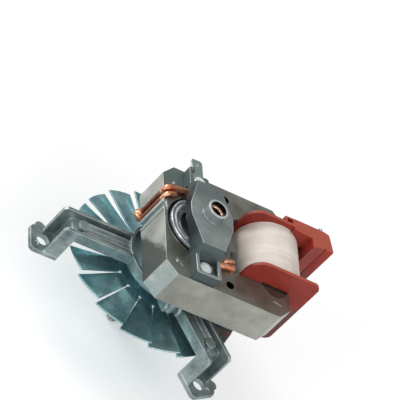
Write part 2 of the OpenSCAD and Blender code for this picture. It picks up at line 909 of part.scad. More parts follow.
// a twisted sheet blade between two slits
module fan_blade() {
    nu = 6;
    nv = 4;
    row = nv + 1;
    layer = (nu + 1) * row;
    points = [for (side = [-1, 1], i = [0:nu], j = [0:nv]) blade_point(i / nu, j / nv, side)];
    low = [for (i = [0:nu - 1], j = [0:nv - 1]) each [
        [i * row + j, (i + 1) * row + j + 1, i * row + j + 1],
        [i * row + j, (i + 1) * row + j, (i + 1) * row + j + 1]]];
    high = [for (f = low) [f[2] + layer, f[1] + layer, f[0] + layer]];
    rim = concat([for (j = [0:nv]) j], [for (i = [1:nu]) i * row + nv],
        [for (j = [1:nv]) nu * row + nv - j], [for (i = [1:nu - 1]) (nu - i) * row]);
    count = len(rim);
    wall = [for (k = [0:count - 1]) let (a = rim[k], b = rim[(k + 1) % count]) each [
        [a, b, b + layer], [a, b + layer, a + layer]]];
    polyhedron(points, concat(low, high, wall));
}

module cooling_fan() {
    color([0.42, 0.52, 0.54])
        difference() {
            union() {
                translate([0, 0, fan_low])
                    cylinder(h = fan_high - fan_low, r = slit_r - 0.6, $fn = 96);
                for (i = [0:blade_count - 1])
                    rotate(fan_phase + (i + 0.5) * pitch)
                        fan_blade();
            }
            translate([0, 0, fan_low - 1])
                cylinder(h = 4, r = hub_spigot_r + seat);
            for (i = [0:blade_count - 1])
                rotate(fan_phase + i * pitch)
                    translate([slit_r, 0, fan_low - 1])
                        cylinder(h = 4, r = 0.75, $fn = 24);
        }
}

// turned hub that the fan sits on
module fan_hub() {
    low = fan_low - 2.4;
    color([0.66, 0.66, 0.64])
        difference() {
            union() {
                translate([0, 0, low])
                    cylinder(h = fan_low - low, r = hub_spigot_r + 3);
                translate([0, 0, low])
                    cylinder(h = hub_bottom - 0.5 - low, r = hub_spigot_r);
            }
            translate([0, 0, low - 1])
                cylinder(h = 8, r = shaft_r + run_gap / 2);
        }
}

// toothed push-on washer that holds the fan on its hub
module fan_star_washer() {
    teeth = 8;
    color([0.60, 0.62, 0.62])
        difference() {
            translate([0, 0, fan_high])
                cylinder(h = star_t, r = hub_spigot_r + 3.4);
            translate([0, 0, fan_high - 1])
                cylinder(h = star_t + 2, r = hub_spigot_r + seat);
            for (i = [0:teeth - 1])
                rotate(i * 360 / teeth)
                    translate([hub_spigot_r + 1.2, 0, fan_high - 1])
                        cylinder(h = star_t + 2, r = 0.6, $fn = 24);
        }
}

// an arm and its leg seen from the side, as a solid block
module arm_side() {
    elbow = 1.6;
    polygon([[arm_start, arm_under], [leg_in, arm_under], [leg_in, foot_lap],
        [leg_out, foot_lap], [leg_out, arm_top - elbow], [leg_out - elbow, arm_top],
        [arm_start, arm_top]]);
}

// the channel cut along the arm and down its leg, over a round elbow
module arm_trough() {
    web_out = leg_in + arm_floor;
    translate([arm_start - 1, arm_under + arm_floor])
        square([leg_out - arm_start + 2, arm_top]);
    translate([web_out, -1])
        square([leg_out, arm_top]);
    difference() {
        translate([leg_in, arm_under])
            square(arm_floor + 1);
        translate([leg_in, arm_under])
            circle(arm_floor);
    }
}

// one foot from above
module foot_plan(lug_side) {
    half = arm_w / 2 + 0.15;
    cut = 1.6;
    polygon([[leg_in + 0.15, -half], [foot_end - cut, -half], [foot_end, -half + cut],
        [foot_end, half - cut], [foot_end - cut, half], [leg_in + 0.15, half]]);
    translate([foot_circle_r + 1.2, lug_side * (half + 0.3)])
        circle(2.9, $fn = 48);
}

module arm(lug_side) {
    floor_z = arm_under + arm_floor;
    rib_start = hub_disc_r - 1;
    difference() {
        along_y(arm_w)
            arm_side();
        along_y(arm_w - 2 * arm_wall)
            arm_trough();
    }
    linear_extrude(foot_t)
        foot_plan(lug_side);
    // raised rib with three thin ridges and the round boss at its end
    translate([rib_start, -rib_w / 2, floor_z - 0.5])
        cube([rib_end - rib_start, rib_w, 2.6]);
    for (i = [-1, 0, 1])
        translate([rib_start + 0.3, i * (rib_w / 2 - 0.7) - 0.4, floor_z + 1])
            cube([rib_end - rib_start - 2, 0.8, 1.9]);
    translate([rib_end, 0, floor_z - 0.4])
        cylinder(h = 3.9, r = rib_boss_r);
}

// a pillar for an assembly screw with its web and two gussets
module screw_pillar() {
    web_l = screw_r_pos - hub_disc_r + 1;
    low = arm_top - 3;
    translate([0, 0, low])
        cylinder(h = stack_z - low, r = screw_d / 2 + 2.2);
    translate([-2.4, -web_l, arm_under + 0.3])
        cube([4.8, web_l - 2.6, arm_top - arm_under - 1]);
    translate([-2.4, -web_l, low + 0.6])
        cube([4.8, web_l, arm_top - low - 1]);
    for (s = [-1, 1])
        translate([s * 3.8, 0, 0])
            rotate([90, 0, 90])
                linear_extrude(1.4, center = true)
                    polygon([[-6.6, arm_under + 0.6], [-4, arm_under + 0.8], [5.6, low + 1],
                        [5.6, low + 4], [1, stack_z - 0.6], [-4, stack_z - 0.6],
                        [-6.6, arm_top + 0.7]]);
}

// section of the bracket's middle: dish with its low wall, and the hub
module middle_section() {
    low = arm_under - 0.2;
    wall_r = hub_disc_r - arm_wall;
    inner = front_bush_d / 2;
    polygon([[inner, hub_bottom], [hub_r - 0.4, hub_bottom], [hub_r, hub_bottom + 0.4],
        [hub_r, low], [hub_disc_r, low], [hub_disc_r, arm_top - 0.2], [wall_r, arm_top - 0.2],
        [wall_r, low + arm_floor], [hub_r, low + arm_floor], [hub_r, hub_top - 0.4],
        [hub_r - 0.4, hub_top], [inner, hub_top]]);
}

module mounting_bracket() {
    color([0.47, 0.49, 0.49])
        difference() {
            union() {
                rotate_extrude($fn = 96)
                    middle_section();
                for (i = [0:2])
                    rotate(arm_angles[i])
                        arm(lug_sides[i]);
                for (a = [0, 180])
                    rotate(a + bridge_turn)
                        translate([0, screw_r_pos, 0])
                            screw_pillar();
            }
            screw_holes(arm_under + arm_floor + 0.2, stack_top, screw_d / 2 + 0.05);
            for (a = arm_angles)
                rotate(a) {
                    translate([foot_circle_r, 0, -1])
                        cylinder(h = foot_t + 2, r = foot_hole_r);
                    // ejector mark beside the hole
                    translate([foot_end - 3, 3.4, foot_t - 0.5])
                        cylinder(h = 1, r = 1.3, $fn = 32);
                }
        }
}

mounting_bracket();
front_bush();
front_oil_felt();
yoke_stack();
core_limb();
pole_strips();
upper_long_shading_ring();
upper_short_shading_ring();
lower_long_shading_ring();
lower_short_shading_ring();
bobbin();
winding();
coil_tape();
coil_terminals();
bearing_bridge();
rear_bush();
rear_oil_felt();
earth_tab();
assembly_screws();
shaft();
rotor_core();
rotor_cage();
rear_thrust_washer();
front_thrust_washer();
cooling_fan();
fan_hub();
fan_star_washer();
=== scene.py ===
import math
import bpy
import numpy as np
from mathutils import Matrix, Vector


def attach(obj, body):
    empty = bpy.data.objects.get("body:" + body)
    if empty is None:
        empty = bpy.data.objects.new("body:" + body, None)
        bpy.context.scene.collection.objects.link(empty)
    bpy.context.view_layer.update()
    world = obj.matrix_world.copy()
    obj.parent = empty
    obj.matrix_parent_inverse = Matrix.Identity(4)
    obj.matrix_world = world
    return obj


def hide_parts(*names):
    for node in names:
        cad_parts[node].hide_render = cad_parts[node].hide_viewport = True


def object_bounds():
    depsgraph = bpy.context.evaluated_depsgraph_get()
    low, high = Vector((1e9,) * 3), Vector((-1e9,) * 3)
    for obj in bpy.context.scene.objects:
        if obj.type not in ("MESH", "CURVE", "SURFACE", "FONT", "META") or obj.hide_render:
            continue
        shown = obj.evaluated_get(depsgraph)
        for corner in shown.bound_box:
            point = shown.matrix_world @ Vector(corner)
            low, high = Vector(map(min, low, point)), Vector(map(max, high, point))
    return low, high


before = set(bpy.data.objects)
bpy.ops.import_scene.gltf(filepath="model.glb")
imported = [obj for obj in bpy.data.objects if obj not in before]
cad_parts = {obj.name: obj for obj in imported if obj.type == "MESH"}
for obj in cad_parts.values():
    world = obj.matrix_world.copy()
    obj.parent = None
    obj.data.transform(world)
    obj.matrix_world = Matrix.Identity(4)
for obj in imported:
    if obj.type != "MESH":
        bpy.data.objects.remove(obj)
cadBounds = [list(corner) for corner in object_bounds()]
print("frame loaded:", len(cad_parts), "nodes")

mm = 0.001
tiny = 1e-6

# the directions are rows of the turn that fits the photograph, and the sensor is in mm
cameraView = {
    "right": (0.8291, -0.0274, 0.5584),
    "up": (-0.3481, 0.7563, 0.5539),
    "back": (-0.4375, -0.6536, 0.6175),
    "distance": 1500 * mm,
    "pixelsPerMm": 2.07,
    "imageSize": 400,
    "originPixel": (142.07, 285.40),
    "sensor": 36.0,
    "clipEnd": 20.0,
}


def makeCamera():
    # the camera looks from its place on the origin's sight line to the middle of the picture
    right, up, back = (Vector(cameraView[k]) for k in ("right", "up", "back"))
    half = cameraView["imageSize"] / 2
    scale = cameraView["pixelsPerMm"] / mm
    x0 = (half - cameraView["originPixel"][0]) / scale
    y0 = (cameraView["originPixel"][1] - half) / scale
    place = back * cameraView["distance"]
    target = right * x0 + up * y0
    zAxis = (place - target).normalized()
    xAxis = up.cross(zAxis).normalized()
    yAxis = zAxis.cross(xAxis)
    data = bpy.data.cameras.new("photoCamera")
    data.sensor_width = cameraView["sensor"]
    focalPixels = scale * cameraView["distance"]
    data.lens = focalPixels / cameraView["imageSize"] * cameraView["sensor"]
    data.clip_end = cameraView["clipEnd"]
    obj = bpy.data.objects.new("photoCamera", data)
    bpy.context.collection.objects.link(obj)
    turn = Matrix((xAxis, yAxis, zAxis)).transposed().to_4x4()
    obj.matrix_world = Matrix.Translation(place) @ turn
    bpy.context.scene.camera = obj


makeCamera()
print("camera placed")


def addNode(tree, kind, inputs=None, **settings):
    node = tree.nodes.new(kind)
    for key, value in settings.items():
        setattr(node, key, value)
    for key, value in (inputs or {}).items():
        node.inputs[key].default_value = value
    return node


def join(tree, outSocket, inSocket):
    tree.links.new(outSocket, inSocket)


def feed(tree, value, socket):
    # a constant is set on the socket, an output is linked to it
    if isinstance(value, (int, float, tuple)):
        socket.default_value = value
    else:
        join(tree, value, socket)


def mathNode(tree, operation, first, second=None, third=None, clamp=False):
    node = addNode(tree, "ShaderNodeMath", operation=operation, use_clamp=clamp)
    for slot, value in enumerate((first, second, third)):
        if value is not None:
            feed(tree, value, node.inputs[slot])
    return node.outputs[0]


def mixColour(tree, factor, first, second):
    node = addNode(tree, "ShaderNodeMix", data_type="RGBA")
    for slot, value in ((0, factor), (6, first), (7, second)):
        feed(tree, value, node.inputs[slot])
    return node.outputs[2]


def spread(tree, value, low, high, outLow=0.0, outHigh=1.0):
    # a soft step from outLow at low to outHigh at high
    node = addNode(tree, "ShaderNodeMapRange", interpolation_type="SMOOTHSTEP",
                   inputs={"From Min": low, "From Max": high,
                           "To Min": outLow, "To Max": outHigh})
    join(tree, value, node.inputs["Value"])
    return node.outputs["Result"]


def noise(tree, place, scale, **inputs):
    node = addNode(tree, "ShaderNodeTexNoise", inputs)
    feed(tree, place, node.inputs["Vector"])
    feed(tree, scale, node.inputs["Scale"])
    return node.outputs[0]


def splitVector(tree, vector):
    parts = addNode(tree, "ShaderNodeSeparateXYZ")
    join(tree, vector, parts.inputs[0])
    return parts.outputs


def dotProduct(tree, first, second):
    node = addNode(tree, "ShaderNodeVectorMath", operation="DOT_PRODUCT")
    feed(tree, first, node.inputs[0])
    feed(tree, second, node.inputs[1])
    return node.outputs["Value"]


def srgb(red, green, blue):
    # colours are written as they look on a screen, from 0 to 255
    values = np.array([red, green, blue]) / 255.0
    linear = np.where(values <= 0.04045, values / 12.92, ((values + 0.055) / 1.055) ** 2.4)
    return tuple(float(v) for v in linear) + (1.0,)


socketKinds = {"float": "NodeSocketFloat", "colour": "NodeSocketColor",
               "vector": "NodeSocketVector"}


def newGroup(name, inputs, outputs):
    group = bpy.data.node_groups.new(name, "ShaderNodeTree")
    for direction, sockets in (("INPUT", inputs), ("OUTPUT", outputs)):
        for label, kind in sockets:
            group.interface.new_socket(name=label, in_out=direction,
                                       socket_type=socketKinds[kind])
    source = group.nodes.new("NodeGroupInput")
    sink = group.nodes.new("NodeGroupOutput")
    return group, source.outputs, sink.inputs


def useGroup(tree, group, place=None, **values):
    node = tree.nodes.new("ShaderNodeGroup")
    node.node_tree = group
    for key, value in values.items():
        node.inputs[key].default_value = value
    if place is not None:
        join(tree, place, node.inputs["Place"])
    return node.outputs


mottleLook = {"cloudDetail": 4.0, "cloudRoughness": 0.6, "grainDetail": 2.0,
              "grainRoughness": 0.5, "swing": 4.0, "grainShare": 0.3}


def makeMottleGroup():
    # cloudy noise and a little fine grain blend a dark and a light colour, and the grain is
    # the height
    look = mottleLook
    group, given, wanted = newGroup(
        "mottledSurface",
        [("Place", "vector"), ("Dark", "colour"), ("Light", "colour"), ("Scale", "float"),
         ("Grain", "float"), ("Contrast", "float")],
        [("Color", "colour"), ("Clouds", "float"), ("Height", "float")])
    clouds = noise(group, given["Place"], given["Scale"], Detail=look["cloudDetail"],
                   Roughness=look["cloudRoughness"])
    grain = noise(group, given["Place"], given["Grain"], Detail=look["grainDetail"],
                  Roughness=look["grainRoughness"])
    centred = mathNode(group, "SUBTRACT", clouds, 0.5)
    swing = mathNode(group, "MULTIPLY", given["Contrast"], look["swing"])
    factor = mathNode(group, "MULTIPLY_ADD", centred, swing, 0.5, clamp=True)
    fine = mathNode(group, "MULTIPLY_ADD", grain, look["grainShare"], -look["grainShare"] / 2)
    blend = mathNode(group, "ADD", factor, fine, clamp=True)
    join(group, mixColour(group, blend, given["Dark"], given["Light"]), wanted["Color"])
    join(group, blend, wanted["Clouds"])
    join(group, grain, wanted["Height"])
    return group


edgeLook = {"samples": 8, "flat": 0.995, "bent": 0.86}


def makeEdgeGroup():
    # where the rounded normal leaves the flat one, the surface is near an edge
    group, given, wanted = newGroup("roundedEdge", [("Radius", "float")],
                                    [("Normal", "vector"), ("Mask", "float")])
    bevel = addNode(group, "ShaderNodeBevel", samples=edgeLook["samples"])
    join(group, given["Radius"], bevel.inputs["Radius"])
    rounded = bevel.outputs[0]
    same = dotProduct(group, rounded,
                      addNode(group, "ShaderNodeNewGeometry").outputs["Normal"])
    join(group, rounded, wanted["Normal"])
    join(group, spread(group, same, edgeLook["flat"], edgeLook["bent"]), wanted["Mask"])
    return group


sheetLook = {"thickness": 0.5 * mm, "grooveShare": 0.22}


def makeSheetGroup():
    # stacked sheets along Z: each sheet has its own shade, with a groove at each joint
    group, given, wanted = newGroup(
        "stackedSheets", [("Place", "vector"), ("Sheet", "float")],
        [("Shade", "float"), ("Height", "float")])
    level = mathNode(group, "DIVIDE", splitVector(group, given["Place"])["Z"], given["Sheet"])
    shade = addNode(group, "ShaderNodeTexWhiteNoise", noise_dimensions="1D")
    join(group, mathNode(group, "FLOOR", level), shade.inputs["W"])
    fromJoint = mathNode(group, "PINGPONG", mathNode(group, "FRACT", level), 0.5)
    join(group, shade.outputs[0], wanted["Shade"])
    join(group, spread(group, fromJoint, 0.0, sheetLook["grooveShare"]), wanted["Height"])
    return group


mottledSurface = makeMottleGroup()
roundedEdge = makeEdgeGroup()
stackedSheets = makeSheetGroup()


def startMaterial(name, **sockets):
    material = bpy.data.materials.new(name)
    material.use_nodes = True
    tree = material.node_tree
    shader = tree.nodes["Principled BSDF"]
    for key, value in sockets.items():
        shader.inputs[key.replace("_", " ")].default_value = value
    return material, tree, shader


def objectPlace(tree):
    return addNode(tree, "ShaderNodeTexCoord").outputs["Object"]


def addBump(tree, shader, height, distance, normal=None):
    bump = addNode(tree, "ShaderNodeBump", {"Distance": distance})
    join(tree, height, bump.inputs["Height"])
    if normal is not None:
        join(tree, normal, bump.inputs["Normal"])
    join(tree, bump.outputs[0], shader.inputs["Normal"])


def dressEdges(tree, shader, place, colour, edge, height, values):
    # rounded edges are worn to another colour, the tint recolours places, and then the
    # colour and the bump go to the shader
    rim = useGroup(tree, roundedEdge, Radius=values["radius"])
    worn = mathNode(tree, "MULTIPLY", rim["Mask"], values["wear"], clamp=True)
    colour = mixColour(tree, worn, colour, srgb(*edge))
    if values.get("tint"):
        colour = values["tint"](tree, place, colour)
    join(tree, colour, shader.inputs["Base Color"])
    addBump(tree, shader, height, values["bump"], rim["Normal"])


def mottledMaterial(name, dark, light, edge, values, **sockets):
    # cloudy colour and fine grain, with rounded edges
    material, tree, shader = startMaterial(name, **sockets)
    place = objectPlace(tree)
    look = useGroup(tree, mottledSurface, place, Dark=srgb(*dark), Light=srgb(*light),
                    Scale=values["scale"], Grain=values["grain"],
                    Contrast=values["contrast"])
    dressEdges(tree, shader, place, look["Color"], edge, look["Height"], values)
    return material, tree, shader, look["Clouds"]


metalLook = {"scale": 60.0, "grain": 900.0, "contrast": 0.5, "bump": 0.03 * mm,
             "radius": 0.5 * mm, "wear": 0.6}
plainLook = {"scale": 40.0, "grain": 700.0, "contrast": 0.4, "bump": 0.04 * mm,
             "radius": 0.4 * mm, "wear": 0.0}


def bareMetal(name, dark, light, edge, rough=(0.3, 0.5), metallic=0.8, **values):
    # a metal surface, smoother where its clouds are light
    material, tree, shader, clouds = mottledMaterial(
        name, dark, light, edge, {**metalLook, **values}, Metallic=metallic)
    join(tree, spread(tree, clouds, 0.0, 1.0, rough[1], rough[0]),
         shader.inputs["Roughness"])
    return material


def plainSurface(name, dark, light, edge=(255, 255, 255), rough=0.5, sockets=None, **values):
    # plastic and felt
    return mottledMaterial(name, dark, light, edge, {**plainLook, **values},
                           Roughness=rough, **(sockets or {}))[0]


def facing(tree):
    # the way the surface faces, as X, Y and Z
    return splitVector(tree, addNode(tree, "ShaderNodeNewGeometry").outputs["Normal"])


sheetSteel = {
    "rolledMottle": {"Scale": 75.0, "Grain": 1600.0, "Contrast": 0.5},
    "cutMottle": {"Scale": 70.0, "Grain": 900.0, "Contrast": 0.55},
    "lineShare": 0.3, "sideFrom": (0.2, 0.8), "rough": (0.38, 0.28),
    "metallic": (0.85, 0.6), "radius": 0.3 * mm, "wear": 0.6, "bump": 0.04 * mm,
}


def laminatedSteel(name, rolled, rolledStain, cutDark, cutLight, edge, tint=None):
    # sheet steel stack: rolled faces with brown stains, and cut sides in fine lines
    s = sheetSteel
    material, tree, shader = startMaterial(name)
    place = objectPlace(tree)
    flat = useGroup(tree, mottledSurface, place, Dark=srgb(*rolledStain),
                    Light=srgb(*rolled), **s["rolledMottle"])
    cut = useGroup(tree, mottledSurface, place, Dark=srgb(*cutDark), Light=srgb(*cutLight),
                   **s["cutMottle"])
    sheets = useGroup(tree, stackedSheets, place, Sheet=sheetLook["thickness"])
    level = mathNode(tree, "ABSOLUTE", facing(tree)["Z"])
    side = spread(tree, mathNode(tree, "SUBTRACT", 1.0, level), *s["sideFrom"])
    lines = mathNode(tree, "MULTIPLY", sheets["Shade"], s["lineShare"])
    cutColour = mixColour(tree, lines, cut["Color"], srgb(*cutDark))
    colour = mixColour(tree, side, flat["Color"], cutColour)
    join(tree, spread(tree, cut["Clouds"], 0.0, 1.0, *s["rough"]),
         shader.inputs["Roughness"])
    join(tree, spread(tree, side, 0.0, 1.0, *s["metallic"]), shader.inputs["Metallic"])
    grooves = mathNode(tree, "MULTIPLY", sheets["Height"], side)
    dressEdges(tree, shader, place, colour, edge, grooves, {**s, "tint": tint})
    return material


def between(tree, x, y, x0=0.0, y0=0.0):
    # distance of the point (x, y) from the point (x0, y0), or from the shaft axis
    dx = mathNode(tree, "SUBTRACT", x, x0)
    dy = mathNode(tree, "SUBTRACT", y, y0)
    return mathNode(tree, "SQRT", mathNode(tree, "ADD", mathNode(tree, "MULTIPLY", dx, dx),
                                           mathNode(tree, "MULTIPLY", dy, dy)))


def above(tree, value, level):
    return mathNode(tree, "GREATER_THAN", value, level)


def below(tree, value, level):
    return mathNode(tree, "LESS_THAN", value, level)


def allOf(tree, mask, *others):
    # masks and shares, multiplied
    for other in others:
        mask = mathNode(tree, "MULTIPLY", mask, other)
    return mask


def paint(tree, colour, tone, *masks):
    # the tone covers the colour as far as the masks and shares allow
    return mixColour(tree, allOf(tree, *masks), colour, srgb(*tone))


# in the tones below, a pair with From or Facing in its name says where a soft mask starts
# and where it is full, on a place or a noise for From and on the normal for Facing
bridgeTone = {
    "sideShade": (72, 84, 86), "sideShadeFacing": (0.93, 0.7),
    "leftSideShade": (36, 46, 48), "leftFacing": (-0.7, -0.92), "leftFrom": (-17 * mm, -11 * mm),
    "dullEnd": (92, 102, 104), "dullFrom": (5 * mm, 14 * mm), "dullShare": 0.6,
    "plateLevel": 59.6 * mm, "bossSide": (134, 143, 144), "bossSideFacing": (0.9, 0.6),
    "bossRadius": 6.2 * mm, "bossRim": (196, 206, 202), "rimLevel": 64.6 * mm,
    "bore": (8, 10, 9), "boreRadius": 4.32 * mm,
}


def tintBridge(tree, place, colour):
    # upright faces are painted darker as painted shade, the left one most; the far end is
    # dull;
    # the boss is turned bright, and its bore is painted black as painted shade
    tone = bridgeTone
    face, at = facing(tree), splitVector(tree, place)
    reach = between(tree, at["X"], at["Y"])
    # painted shade: upright faces are painted darker, the left face most
    colour = paint(tree, colour, tone["sideShade"], spread(tree, face["Z"], *tone["sideShadeFacing"]))
    colour = paint(tree, colour, tone["leftSideShade"],
                   spread(tree, face["X"], *tone["leftFacing"]),
                   spread(tree, at["Y"], *tone["leftFrom"]))
    colour = paint(tree, colour, tone["dullEnd"],
                   spread(tree, at["Y"], *tone["dullFrom"]), tone["dullShare"])
    high = above(tree, at["Z"], tone["plateLevel"])
    boss = allOf(tree, high, below(tree, reach, tone["bossRadius"]))
    colour = paint(tree, colour, tone["bossSide"], boss,
                   spread(tree, face["Z"], *tone["bossSideFacing"]))
    colour = paint(tree, colour, tone["bossRim"], boss,
                   above(tree, at["Z"], tone["rimLevel"]))
    # painted shade: the boss's bore is painted black
    return paint(tree, colour, tone["bore"], high, below(tree, reach, tone["boreRadius"]))


bushTone = {"stepLevel": 61.4 * mm, "step": (236, 190, 160), "stepHighlightFacing": (0.1, 0.5),
            "wall": (14, 12, 10), "wallRadius": 3.98 * mm}


def tintBush(tree, place, colour):
    # painted shade: the pocket's wall is black; painted highlight: the step at its bottom is
    # bright
    at = splitVector(tree, place)
    high = above(tree, at["Z"], bushTone["stepLevel"])
    # painted highlight: the step at the pocket's bottom is painted bright
    colour = paint(tree, colour, bushTone["step"], high,
                   spread(tree, facing(tree)["Z"], *bushTone["stepHighlightFacing"]))
    # painted shade: the pocket's wall is painted black
    return paint(tree, colour, bushTone["wall"], high,
                 above(tree, between(tree, at["X"], at["Y"]), bushTone["wallRadius"]))


zincTone = {"dish": (206, 240, 246), "dishRadius": 18.9 * mm}


def tintZinc(tree, place, colour):
    # painted light: the inside of the bracket's dish is painted lighter in its shade
    at = splitVector(tree, place)
    return paint(tree, colour, zincTone["dish"],
                 below(tree, between(tree, at["X"], at["Y"]), zincTone["dishRadius"]))


stackTone = {
    "raggedScale": 260.0, "raggedDetail": 3.0,
    "chamfer": (146, 163, 162), "chamferFacing": (0.3, 0.45), "blotchFrom": (0.25, 0.6),
    "nearSide": (112, 113, 105), "nearShare": 0.3, "sideFacing": (-0.9, -0.99),
    "farTop": (122, 156, 156), "farShare": 0.5, "farFrom": (18 * mm, 28 * mm),
    "farLeftFrom": (14 * mm, -2 * mm), "topFacing": (0.8, 0.95),
    "pin": (226, 232, 228), "pinLevel": 47.85 * mm,
    # the painted reflection's edge is a line over Y and Z, moved by the ragged noise
    "armReflection": (84, 88, 84), "armReflectionShare": 0.9, "armReflectionSlope": 1.13, "armReflectionRagged": 9 * mm,
    "armReflectionFrom": (39.6 * mm, 35.1 * mm),
    "holeAndBoreShade": (12, 14, 14), "holeAt": (16.9 * mm, 27.2 * mm), "holeRadius": 2.25 * mm,
    "boreRadius": 17.7 * mm,
}


def tintStack(tree, place, colour):
    # the chamfer and the far part of the top are bluish, the near side is duller and the
    # pins are bright; a painted dark reflection of the arm lies low on the left face;
    # painted black shade in the two plain holes, mirrored over the X axis, and round the
    # rotor
    tone = stackTone
    face, at = facing(tree), splitVector(tree, place)
    ragged = noise(tree, place, tone["raggedScale"], Detail=tone["raggedDetail"])
    colour = paint(tree, colour, tone["chamfer"],
                   spread(tree, allOf(tree, face["X"], face["Y"]), *tone["chamferFacing"]),
                   spread(tree, ragged, *tone["blotchFrom"]))
    colour = paint(tree, colour, tone["nearSide"],
                   spread(tree, face["Y"], *tone["sideFacing"]), tone["nearShare"])
    colour = paint(tree, colour, tone["farTop"], spread(tree, at["Y"], *tone["farFrom"]),
                   spread(tree, at["X"], *tone["farLeftFrom"]),
                   spread(tree, face["Z"], *tone["topFacing"]), tone["farShare"])
    colour = paint(tree, colour, tone["pin"], above(tree, at["Z"], tone["pinLevel"]))
    # painted reflection: a dark reflection of the arm on the low end of the left face
    line = mathNode(tree, "MULTIPLY_ADD", at["Z"], tone["armReflectionSlope"], at["Y"])
    line = mathNode(tree, "MULTIPLY_ADD", ragged, tone["armReflectionRagged"], line)
    colour = paint(tree, colour, tone["armReflection"], spread(tree, face["X"], *tone["sideFacing"]),
                   spread(tree, line, *tone["armReflectionFrom"]), tone["armReflectionShare"])
    # painted shade: the two plain holes and the bore round the rotor are painted black
    fromHole = between(tree, at["X"], mathNode(tree, "ABSOLUTE", at["Y"]), *tone["holeAt"])
    holeAndBoreShade = mathNode(tree, "MAXIMUM", below(tree, fromHole, tone["holeRadius"]),
                    below(tree, between(tree, at["X"], at["Y"]), tone["boreRadius"]))
    return paint(tree, colour, tone["holeAndBoreShade"], holeAndBoreShade)


rotorTone = {"gap": (10, 12, 14), "gapRadius": 14.0 * mm}


def tintRotor(tree, place, colour):
    # painted shade: black round the end ring, beside the air gap
    at = splitVector(tree, place)
    return paint(tree, colour, rotorTone["gap"],
                 above(tree, between(tree, at["X"], at["Y"]), rotorTone["gapRadius"]))


wireTone = {"recess": (92, 26, 14), "share": 0.8, "lowFrom": (28.4 * mm, 29.4 * mm),
            "highFrom": (45.6 * mm, 44.6 * mm), "side": 15.0 * mm}


def tintWire(tree, place, colour):
    # the legs of the rings in the pole gaps are painted dark, as painted shade in the
    # recesses
    at = splitVector(tree, place)
    return paint(tree, colour, wireTone["recess"],
                 spread(tree, at["Z"], *wireTone["lowFrom"]),
                 spread(tree, at["Z"], *wireTone["highFrom"]),
                 above(tree, mathNode(tree, "ABSOLUTE", at["X"]), wireTone["side"]),
                 wireTone["share"])


stripTone = {"dull": (84, 82, 78), "share": 0.8}


def tintStrip(tree, place, colour):
    # the strip on the coil's side of the shaft is painted darker, as painted shade
    return paint(tree, colour, stripTone["dull"],
                 above(tree, splitVector(tree, place)["X"], 0.0), stripTone["share"])


nylonTone = {
    "paintedTopLight": (172, 84, 66), "topLightShare": 0.8, "upFacing": (0.6, 0.95),
    "dull": (84, 54, 56), "dullShare": 0.8, "rimFrom": (58.6 * mm, 60.0 * mm),
    "underFrom": (48 * mm, 34 * mm), "nearFacing": (-0.5, -0.9),
}


def tintNylon(tree, place, colour):
    # painted light on faces turned up, painted shadow on the low end of the near flange's
    # edge
    tone = nylonTone
    face, at = facing(tree), splitVector(tree, place)
    # painted light: faces turned up are painted lighter
    colour = paint(tree, colour, tone["paintedTopLight"],
                   spread(tree, face["Z"], *tone["upFacing"]), tone["topLightShare"])
    # painted shadow: the low end of the near flange's edge is painted darker
    return paint(tree, colour, tone["dull"], spread(tree, at["X"], *tone["rimFrom"]),
                 spread(tree, at["Z"], *tone["underFrom"]),
                 spread(tree, face["Y"], *tone["nearFacing"]), tone["dullShare"])


tapeLook = {
    "rough": 0.62, "mottle": {"Scale": 90.0, "Grain": 1500.0, "Contrast": 0.45},
    "threads": {"stretch": (120.0, 2600.0, 120.0), "Detail": 2.0},
    "bands": {"stretch": (14.0, 230.0, 14.0), "Detail": 1.0, "Distortion": 0.3},
    "bandFrom": (0.42, 0.62), "bandShare": 0.3, "threadFrom": (0.5, 0.75),
    "threadShare": 0.22, "threadHeight": 0.5, "bump": 0.12 * mm,
}


def stretchedNoise(tree, place, stretch, **inputs):
    mapping = addNode(tree, "ShaderNodeMapping", {"Scale": stretch})
    join(tree, place, mapping.inputs["Vector"])
    return noise(tree, mapping.outputs[0], 1.0, **inputs)


def woundTape(name, dark, light, shadow):
    # cloth tape: fine threads round the coil, faint bands where its turns overlap
    s = tapeLook
    material, tree, shader = startMaterial(name, Roughness=s["rough"])
    place = objectPlace(tree)
    look = useGroup(tree, mottledSurface, place, Dark=srgb(*dark), Light=srgb(*light),
                    **s["mottle"])
    threads = stretchedNoise(tree, place, **s["threads"])
    bands = stretchedNoise(tree, place, **s["bands"])
    colour = paint(tree, look["Color"], shadow, spread(tree, bands, *s["bandFrom"]),
                   s["bandShare"])
    colour = paint(tree, colour, shadow, spread(tree, threads, *s["threadFrom"]),
                   s["threadShare"])
    join(tree, colour, shader.inputs["Base Color"])
    height = mathNode(tree, "MULTIPLY_ADD", threads, s["threadHeight"], bands)
    addBump(tree, shader, height, s["bump"])
    return material


